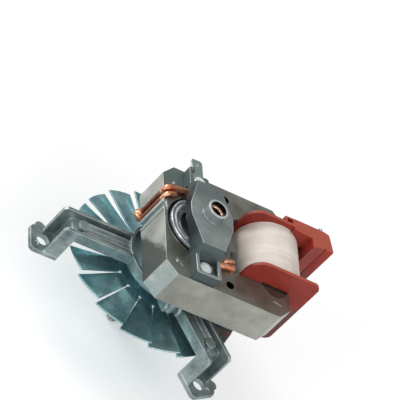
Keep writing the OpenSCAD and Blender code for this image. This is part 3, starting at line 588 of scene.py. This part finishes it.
# the colours of a finish are its dark, light and edge or shadow, and for the sheet steels
# the rolled face, its stain, the cut side dark and light, and the edge
finishes = {
    "whiteTape": woundTape("whiteTape", (214, 204, 194), (234, 228, 220), (196, 178, 166)),
    "castZinc": bareMetal(
        "castZinc", (98, 113, 115), (168, 181, 181), (214, 222, 222), rough=(0.32, 0.52),
        metallic=0.75, scale=120.0, grain=1300.0, contrast=0.6, bump=0.08 * mm,
        tint=tintZinc),
    "castBridge": bareMetal(
        "castBridge", (126, 133, 132), (168, 176, 174), (206, 213, 212), rough=(0.32, 0.5),
        metallic=0.6, scale=120.0, contrast=0.4, bump=0.06 * mm, radius=0.9 * mm, wear=0.75,
        tint=tintBridge),
    "stackSteel": laminatedSteel(
        "stackSteel", (162, 168, 158), (112, 106, 94), (138, 139, 130), (200, 202, 194),
        (214, 220, 214), tintStack),
    "limbSteel": laminatedSteel(
        "limbSteel", (128, 122, 116), (86, 74, 66), (110, 106, 98), (150, 146, 138),
        (200, 200, 194)),
    "rotorSteel": bareMetal(
        "rotorSteel", (60, 66, 74), (128, 136, 144), (150, 156, 160), rough=(0.2, 0.36),
        metallic=0.9, contrast=0.8, scale=200.0, tint=tintRotor),
    "brightSteel": bareMetal(
        "brightSteel", (150, 160, 158), (205, 214, 212), (236, 242, 240),
        rough=(0.26, 0.42), metallic=0.85, wear=0.4, tint=tintStrip),
    "copperWire": bareMetal(
        "copperWire", (184, 94, 54), (250, 194, 160), (250, 206, 178), rough=(0.18, 0.34),
        metallic=0.85, scale=220.0, radius=0.1 * mm, contrast=0.7, tint=tintWire),
    "sinteredBronze": bareMetal(
        "sinteredBronze", (58, 30, 16), (96, 54, 32), (214, 140, 92), rough=(0.16, 0.3),
        grain=2500.0, wear=0.2, tint=tintBush),
    "fanSheet": bareMetal(
        "fanSheet", (80, 136, 146), (178, 218, 221), (226, 240, 238), rough=(0.22, 0.38),
        metallic=0.9, scale=70.0, contrast=0.7),
    "tinnedSteel": bareMetal(
        "tinnedSteel", (146, 162, 158), (184, 200, 195), (222, 232, 228),
        rough=(0.24, 0.4), metallic=0.85),
    "screwSteel": bareMetal(
        "screwSteel", (222, 230, 230), (248, 252, 252), (252, 254, 254),
        rough=(0.3, 0.42), metallic=0.4),
    "groundSteel": bareMetal(
        "groundSteel", (110, 112, 114), (160, 162, 164), (215, 218, 220),
        rough=(0.18, 0.3), metallic=0.95),
    "castAluminium": bareMetal(
        "castAluminium", (160, 174, 186), (246, 249, 252), (252, 253, 254),
        rough=(0.16, 0.32), metallic=0.72, contrast=0.9, scale=260.0),
    "redNylon": plainSurface(
        "redNylon", (106, 18, 11), (156, 52, 38), (190, 108, 90), rough=0.4, wear=0.35,
        scale=50.0, tint=tintNylon, sockets={"Specular_IOR_Level": 0.35}),
    "paleFelt": plainSurface(
        "paleFelt", (190, 184, 166), (214, 208, 192), rough=0.95, grain=1800.0,
        bump=0.12 * mm),
    "washerNylon": plainSurface(
        "washerNylon", (214, 210, 194), (230, 226, 212), rough=0.4),
    "enamelCopper": bareMetal(
        "enamelCopper", (120, 52, 26), (178, 92, 50), (200, 120, 80), rough=(0.25, 0.4)),
}

nodeFinishes = {
    "mounting_bracket": "castZinc", "bearing_bridge": "castBridge",
    "front_bush": "sinteredBronze", "rear_bush": "sinteredBronze",
    "front_oil_felt": "paleFelt", "rear_oil_felt": "paleFelt",
    "yoke_stack": "stackSteel", "core_limb": "limbSteel", "pole_strips": "brightSteel",
    "upper_long_shading_ring": "copperWire", "upper_short_shading_ring": "copperWire",
    "lower_long_shading_ring": "copperWire", "lower_short_shading_ring": "copperWire",
    "bobbin": "redNylon", "winding": "enamelCopper", "coil_tape": "whiteTape",
    "coil_terminals": "tinnedSteel", "earth_tab": "tinnedSteel",
    "assembly_screws": "screwSteel", "shaft": "groundSteel", "rotor_core": "rotorSteel",
    "rotor_cage": "castAluminium", "rear_thrust_washer": "washerNylon",
    "front_thrust_washer": "washerNylon", "cooling_fan": "fanSheet",
    "fan_hub": "groundSteel", "fan_star_washer": "tinnedSteel",
}


def dressNodes():
    for node, finish in nodeFinishes.items():
        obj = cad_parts[node]
        obj.data.materials.clear()
        obj.data.materials.append(finishes[finish])


dressNodes()
print("finishes given to the solids")


# each grid below holds points in millimetres: a row is a closed ring, and the rows follow
# on, back to the first where closedRows is set, and else from pole to pole
def gridFaces(rows, cols, closedRows, start):
    index = np.arange(rows * cols).reshape(rows, cols) + start
    lower = index if closedRows else index[:-1]
    upper = np.roll(index, -1, axis=0) if closedRows else index[1:]
    quads = np.stack([lower, np.roll(lower, -1, axis=1), np.roll(upper, -1, axis=1), upper],
                     axis=-1)
    faces = quads.reshape(-1, 4).tolist()
    if not closedRows:
        first = np.full(cols, start + rows * cols)
        last = first + 1
        faces += np.stack([first, np.roll(index[0], -1), index[0]], axis=-1).tolist()
        faces += np.stack([last, index[-1], np.roll(index[-1], -1)], axis=-1).tolist()
    return faces


def makePiece(name, grids, finish, body, nodes, closedRows=False, sharp=35.0):
    points, faces = [], []
    for grid in grids:
        faces += gridFaces(*grid.shape[:2], closedRows, sum(len(p) for p in points))
        points.append(grid.reshape(-1, 3))
        if not closedRows:
            points.append(np.stack([grid[0].mean(axis=0), grid[-1].mean(axis=0)]))
    mesh = bpy.data.meshes.new(name)
    mesh.from_pydata((np.concatenate(points) * mm).tolist(), [], faces)
    mesh.polygons.foreach_set("use_smooth", np.ones(len(mesh.polygons), dtype=bool))
    mesh.set_sharp_from_angle(angle=math.radians(sharp))
    mesh.materials.append(finishes[finish])
    mesh.update()
    piece = bpy.data.objects.new(name, mesh)
    bpy.context.collection.objects.link(piece)
    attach(piece, body)
    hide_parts(*nodes)


def smoothStep(value, low, high):
    share = np.clip((value - low) / (high - low), 0.0, 1.0)
    return share * share * (3.0 - 2.0 * share)


def lathe(profile, cols):
    # the profile's points (radius, height) turned about Z
    theta = np.linspace(0.0, 2 * np.pi, cols, endpoint=False)
    radius, height = profile[:, 0, None], profile[:, 1, None]
    return np.stack([radius * np.cos(theta), radius * np.sin(theta),
                     height + 0.0 * theta], axis=-1)


def densify(corners, step):
    # points along a bent line, no further apart than the step, with its corners kept
    corners = np.array(corners, dtype=float)
    parts = [np.linspace(a, b, max(2, int(np.ceil(np.linalg.norm(b - a) / step)) + 1))
             for a, b in zip(corners[:-1], corners[1:])]
    return np.concatenate(parts)


shaftShape = {
    "low": -28.0, "studTop": -15.0, "seatTop": -9.0, "shoulder": 50.7, "top": 60.3,
    "studRadius": 3.0, "seatRadius": 3.5, "halfFlat": 2.8, "bodyRadius": 4.0,
    "journalRadius": 3.0, "pitch": 1.0, "threadDepth": 0.6, "threadRows": 210,
    "flankGain": 1.35, "flankCut": 0.1, "runOut": (1.6, 0.6), "chamfer": 0.8,
    "seatEdge": 0.3, "bodyEdge": 0.4, "shoulderEdge": 0.3, "tipEdge": 0.5, "turns": 96,
}


def makeShaft():
    # radius by height and turn: the thread's crest climbs one pitch per turn, between its
    # chamfered tip and its run-out, and the seat is a circle cut by two flats
    s = shaftShape
    theta = np.linspace(0.0, 2 * np.pi, s["turns"], endpoint=False)[None, :]
    zStud = np.linspace(s["low"], s["studTop"], s["threadRows"])[:, None]
    rise = zStud / s["pitch"] - theta / (2 * np.pi)
    tooth = np.abs(rise - np.floor(rise) - 0.5) * 2.0
    tooth = np.clip(tooth * s["flankGain"] - s["flankCut"], 0.0, 1.0)
    run = smoothStep(zStud, *(s["studTop"] - drop for drop in s["runOut"]))
    stud = s["studRadius"] - s["threadDepth"] * np.maximum(1.0 - tooth, run)
    stud = np.minimum(stud, s["studRadius"] - s["chamfer"] + (zStud - s["low"]))
    ease = s["seatEdge"]
    zSeat = np.array([[s["studTop"]], [s["studTop"] + ease], [s["seatTop"] - ease],
                      [s["seatTop"]]])
    cut = s["halfFlat"] / np.maximum(np.abs(np.sin(theta)), tiny)
    seat = np.minimum(s["seatRadius"], cut) - np.array([[ease], [0.0], [0.0], [0.0]])
    low, high, top = s["seatTop"], s["shoulder"], s["top"]
    body, journal = s["bodyRadius"], s["journalRadius"]
    bevel, step, tip = s["bodyEdge"], s["shoulderEdge"], s["tipEdge"]
    turned = np.array([[body - bevel, low], [body, low + bevel], [body, 0.5 * (low + high)],
                       [body, high - step], [body - step, high], [journal, high],
                       [journal, top - tip], [journal - tip, top]])
    rest = turned[:, :1] + 0.0 * theta
    radius = np.concatenate([stud, seat, rest])
    z = np.concatenate([zStud, zSeat, turned[:, 1:]]) + 0.0 * theta
    grid = np.stack([radius * np.cos(theta), radius * np.sin(theta), z], axis=-1)
    makePiece("turnedShaft", [grid], "groundSteel", "rotor", ["shaft"])


tapeShape = {
    "centre": (43.0, 37.8), "half": (16.8, 19.8), "corner": 16.0, "halfLength": 15.65,
    "thickness": 0.35, "sag": 0.1, "squareness": 9.0, "around": 220, "along": 110,
    "sharp": 50.0,
    # a ripple's share and pitch, and the reach, waves and phase of its sway round the coil
    "ripple": 0.035, "ripples": ((1.0, 3.3, 0.9, 1, 0.4), (0.7, 1.45, 0.8, 2, math.pi / 2),
                                 (0.5, 6.7, 1.3, 1, 0.0)),
    # the lap's ragged start is two waves along Y: size, rate and phase
    "lap": 0.14, "lapAt": (0.35, 1.25), "lapStep": 0.02, "lapFade": 0.5,
    "ragged": ((0.03, 2.1, 0.0), (0.02, 5.3, 1.0)), "edgeRise": 0.1, "edgeWidth": 0.5,
}


def makeTape():
    # a rounded oblong drawn by the direction of its normal, and swept along Y: its height
    # ripples along Y, and is raised on the lapped length and at both edges
    s = tapeShape
    phi = np.linspace(0.0, 2 * np.pi, s["around"], endpoint=False)[None, :]
    flat = np.array(s["half"]) - s["corner"]
    share = np.linspace(-1.0, 1.0, s["along"])[:, None]
    y = s["halfLength"] * share
    ripple = sum(part * np.sin(2 * np.pi * y / pitch + reach * np.sin(waves * phi + phase))
                 for part, pitch, reach, waves, phase in s["ripples"])
    start, end = s["lapAt"]
    start = start + sum(size * np.sin(y * rate + phase) for size, rate, phase in s["ragged"])
    lap = smoothStep(phi, start, start + s["lapStep"])
    lap = lap * (1.0 - smoothStep(phi, end - s["lapFade"], end))
    edge = np.exp(-((1.0 - np.abs(share)) * s["halfLength"] / s["edgeWidth"]) ** 2)
    height = -s["sag"] + s["ripple"] * ripple + s["lap"] * lap + s["edgeRise"] * edge
    outer = s["corner"] + height
    inner = np.full_like(outer, s["corner"] - s["thickness"] - s["sag"])
    radius = np.concatenate([outer, inner[::-1]])
    along = np.concatenate([y, y[::-1]]) + 0.0 * phi
    side = np.clip(np.cos(phi) * s["squareness"], -1, 1) * flat[0]
    rise = np.clip(np.sin(phi) * s["squareness"], -1, 1) * flat[1]
    grid = np.stack([s["centre"][0] + side + radius * np.cos(phi), along,
                     s["centre"][1] + rise + radius * np.sin(phi)], axis=-1)
    makePiece("tapeSleeve", [grid[:, ::-1]], "whiteTape", "stator",
              ["coil_tape"], closedRows=True, sharp=s["sharp"])


ringShape = {
    "wire": 2.6, "bend": 2.0, "bendPoints": 12, "low": 26.4, "high": 49.4,
    "samples": 260, "around": 24, "sharp": 60.0, "dents": 0.05, "dentRate": 1.3,
    "dentSway": 2.0, "flattening": 0.08, "topFrom": (46.5, 48.4), "capFrom": (1.2, 3.2),
    # the two legs of a ring, the drop of its first lower corner, the width of the cap
    # pressed there and of the wire over the stack
    "longRing": {"legs": ((-18.6, 17.2), (-5.5, 19.9)), "drop": 1.2, "cap": 6.6,
                 "top": 3.3},
    "shortRing": {"legs": ((-18.6, 13.0), (-12.8, 15.2)), "drop": 0.0, "cap": 2.6,
                  "top": 2.6},
}


def ringGrid(ring, turned):
    # a planar loop of wire with eased corners: its section is a circle, thicker over the
    # stack and at the cap, a little flattened at the bends and dented by slow waves along
    # its length
    s = ringShape
    p, q = (np.array(leg) for leg in ring["legs"])
    span = np.linalg.norm(q - p)
    low, high = s["low"] - ring["drop"], s["high"]
    corners = np.array([[0.0, low], [0.0, high], [span, high], [span, s["low"]]])
    path, bent = [], []
    share = np.linspace(0.0, 1.0, s["bendPoints"])[:, None]
    for before, corner, after in zip(np.roll(corners, 1, axis=0), corners,
                                     np.roll(corners, -1, axis=0)):
        a = corner + (before - corner) / np.linalg.norm(before - corner) * s["bend"]
        b = corner + (after - corner) / np.linalg.norm(after - corner) * s["bend"]
        path.append((1 - share) ** 2 * a + 2 * share * (1 - share) * corner + share ** 2 * b)
        bent.append(4 * share * (1 - share))
    path, bent = np.concatenate(path), np.concatenate(bent)[:, 0]
    path, bent = np.concatenate([path, path[:1]]), np.concatenate([bent, bent[:1]])
    length = np.concatenate([[0.0], np.cumsum(np.linalg.norm(np.diff(path, axis=0), axis=1))])
    at = np.linspace(0.0, length[-1], s["samples"], endpoint=False)
    path = np.stack([np.interp(at, length, path[:, k]) for k in (0, 1)], axis=-1)
    bent = np.interp(at, length, bent)[:, None]
    tangent = np.roll(path, -1, axis=0) - np.roll(path, 1, axis=0)
    tangent /= np.linalg.norm(tangent, axis=1, keepdims=True)
    normal = np.stack([-tangent[:, 1], tangent[:, 0]], axis=-1)
    phi = np.linspace(0.0, 2 * np.pi, s["around"], endpoint=False)[None, :]
    sway = np.sin(at[:, None] * s["dentRate"] + s["dentSway"] * np.sin(phi))
    wave = 1.0 - s["dents"] * (0.5 + 0.5 * sway)
    fromCap = np.hypot(path[:, :1], path[:, 1:] - low)
    width = s["wire"] + (ring["top"] - s["wire"]) * smoothStep(path[:, 1:], *s["topFrom"])
    width += (ring["cap"] - s["wire"]) * (1.0 - smoothStep(fromCap, *s["capFrom"]))
    inPlane = width / 2 * wave * (1.0 - s["flattening"] * bent) * np.cos(phi)
    across = width / 2 * wave * np.sin(phi)
    level = path[:, :1] + normal[:, :1] * inPlane
    z = path[:, 1:] + normal[:, 1:] * inPlane
    along = (q - p) / span
    sideways = np.array([-along[1], along[0]])
    x = p[0] + along[0] * level + sideways[0] * across
    y = p[1] + along[1] * level + sideways[1] * across
    grid = np.stack([x, y, z], axis=-1)
    if turned:
        grid[..., :2] *= -1.0
    return grid[:, ::-1]


def makeRings():
    names = (("upper_long_shading_ring", "longRing", False),
             ("upper_short_shading_ring", "shortRing", False),
             ("lower_long_shading_ring", "longRing", True),
             ("lower_short_shading_ring", "shortRing", True))
    for node, ring, turned in names:
        grid = ringGrid(ringShape[ring], turned)
        makePiece(node.replace("shading_ring", "wire"), [grid], "copperWire", "stator",
                  [node], closedRows=True, sharp=ringShape["sharp"])


screwShape = {
    "turn": 1.5, "place": 26.5, "seats": (50.0, 50.8), "tip": 19.6, "shank": 2.0,
    "shankEdge": 0.6, "stemStep": 4.0, "headRadius": 3.3, "headSide": 1.25,
    "headHeight": 1.8, "domeRows": 46, "domePower": 3, "crown": 0.03,
    "crossSlant": 0.3, "crossWidth": (0.35, 0.51), "crossReach": (1.2, 1.5),
    "crossDepth": 0.3, "topMargin": 0.01, "turns": 96,
}


def makeScrews():
    # a turned profile with a domed head; a cross is pressed into the dome, at full depth
    # where the distance to the nearer of its two lines is small, easing out beside them
    s = screwShape
    grids = []
    for sign, seat in zip((-1, 1), s["seats"]):
        reach = np.linspace(s["headRadius"], s["crown"], s["domeRows"])
        fall = np.clip(1.0 - (reach / s["headRadius"]) ** s["domePower"], 0.0, 1.0)
        dome = s["headSide"] + (s["headHeight"] - s["headSide"]) * np.sqrt(fall)
        stem = densify([[s["shank"] - s["shankEdge"], s["tip"]],
                        [s["shank"], s["tip"] + s["shankEdge"]],
                        [s["shank"], seat], [s["headRadius"], seat],
                        [s["headRadius"], seat + s["headSide"]]], s["stemStep"])
        head = np.stack([reach, seat + dome], axis=-1)
        grid = lathe(np.concatenate([stem, head]), s["turns"])
        x, y = grid[..., 0], grid[..., 1]
        radius = np.hypot(x, y)
        line = np.minimum(np.abs(x + s["crossSlant"] * y), np.abs(y - s["crossSlant"] * x))
        cross = 1 - smoothStep(line, *s["crossWidth"])
        cross = cross * (1 - smoothStep(radius, *s["crossReach"]))
        onTop = grid[..., 2] > seat + s["headSide"] + s["topMargin"]
        grid[..., 2] -= np.where(onTop, cross * s["crossDepth"], 0.0)
        turn = math.radians(s["turn"])
        grid[..., 0] -= sign * s["place"] * math.sin(turn)
        grid[..., 1] += sign * s["place"] * math.cos(turn)
        grids.append(grid)
    makePiece("panHeadScrews", grids, "screwSteel", "stator",
              ["assembly_screws"])


endRingShape = {
    "stackLow": 27.8, "stackTop": 47.8, "turns": 160, "step": 0.25,
    "toolRise": 0.012, "toolRate": 17.0, "toolFrom": 0.2,
    "profile": [  # radius and height over the core, from the bore out to the rim and back
        (10.4, 0.0), (10.4, 0.35), (10.55, 0.5), (11.6, 0.55), (12.9, 0.85), (13.1, 1.28),
        (13.3, 1.38), (13.6, 1.38), (13.8, 1.2), (14.4, 1.0), (15.0, 1.1), (15.25, 1.45),
        (15.4, 1.56), (16.0, 1.56), (16.15, 1.45), (16.2, 1.2), (16.2, 0.0)],
}


def makeEndRings():
    # the cast end rings of the cage: one profile turned about Z, with fine tool rings on it
    s = endRingShape
    radius, height = densify(s["profile"], s["step"]).T
    tool = s["toolRise"] * np.sin(radius * s["toolRate"])
    height = height + tool * (height > s["toolFrom"])
    ringUp = lathe(np.stack([radius, s["stackTop"] + height], axis=-1), s["turns"])
    ringDown = lathe(np.stack([radius, s["stackLow"] - height], axis=-1), s["turns"])
    makePiece("cageEndRings", [ringUp[::-1], ringDown], "castAluminium", "rotor",
              ["rotor_cage"], closedRows=True)


bushShape = {
    "turns": 160, "step": 1.0,
    "profile": [  # radius and height, from the foot of the bore over the mouth to the outside
        (3.72, 51.8), (3.02, 52.5), (3.02, 61.55), (3.1, 61.85), (3.42, 62.2), (3.8, 62.35),
        (4.02, 62.45), (4.02, 64.0), (4.1, 64.1), (4.18, 64.0), (4.18, 52.1), (3.9, 51.8)],
}


def makeBush():
    # the closed side bush: one profile turned about Z, with a pocket at its mouth
    grid = lathe(densify(bushShape["profile"], bushShape["step"]), bushShape["turns"])
    makePiece("pocketedBush", [grid[::-1]], "sinteredBronze", "stator",
              ["rear_bush"], closedRows=True)


makeShaft()
makeTape()
makeRings()
makeScrews()
makeEndRings()
makeBush()
print("pieces made: shaft, tape, rings, screws, end rings, bush")

studio = {
    "floorSize": 6.0,
    "floorColour": srgb(236, 236, 236),
    "floorRoughness": 0.9,
    "floorLift": 0.2,
    "worldStrength": 0.8,
    "shadeStrength": 0.4,
    "shadeCentre": (0.44, 0.65, 0.62),
    "shadeFrom": (0.5, 0.93),
    "lamps": [  # name, place and width in metres, power in watts
        ("backLamp", (-0.9, 0.9, 0.7), 0.7, 8.0),
        ("leftLamp", (-1.1, -0.5, 0.4), 0.9, 5.0),
        ("coilLamp", (0.4, -1.1, 0.7), 1.0, 5.0),
    ],
}


def makeStudio():
    world = bpy.data.worlds.new("paleStudio")
    bpy.context.scene.world = world
    world.use_nodes = True
    tree = world.node_tree
    back = tree.nodes["Background"]
    # a soft dark patch high on the far side gives the metal faces something to reflect
    toShade = dotProduct(tree, addNode(tree, "ShaderNodeTexCoord").outputs["Generated"],
                         tuple(Vector(studio["shadeCentre"]).normalized()))
    lit = spread(tree, toShade, *studio["shadeFrom"], studio["worldStrength"],
                 studio["shadeStrength"])
    seen = addNode(tree, "ShaderNodeLightPath").outputs["Is Camera Ray"]
    back.inputs["Color"].default_value = (1, 1, 1, 1)
    join(tree, mathNode(tree, "MAXIMUM", lit, seen), back.inputs["Strength"])

    low = cadBounds[0][2]
    half = studio["floorSize"] / 2
    mesh = bpy.data.meshes.new("studioFloor")
    mesh.from_pydata([(-half, -half, low), (half, -half, low), (half, half, low),
                      (-half, half, low)], [], [(0, 1, 2, 3)])
    floor = bpy.data.objects.new("studioFloor", mesh)
    bpy.context.collection.objects.link(floor)
    # the camera sees the floor a little whiter than it lights the part
    material, tree, shader = startMaterial(
        "studioFloor", Roughness=studio["floorRoughness"], Base_Color=studio["floorColour"],
        Emission_Color=(1, 1, 1, 1))
    seen = addNode(tree, "ShaderNodeLightPath").outputs["Is Camera Ray"]
    join(tree, mathNode(tree, "MULTIPLY", seen, studio["floorLift"]),
         shader.inputs["Emission Strength"])
    mesh.materials.append(material)

    for name, place, size, power in studio["lamps"]:
        data = bpy.data.lights.new(name, "AREA")
        data.shape = "DISK"
        data.size = size
        data.energy = power
        lamp = bpy.data.objects.new(name, data)
        bpy.context.collection.objects.link(lamp)
        lamp.location = place
        lamp.rotation_euler = (-Vector(place)).to_track_quat("-Z", "Y").to_euler()


makeStudio()
bpy.context.scene.view_settings.view_transform = "Standard"
print("studio made")
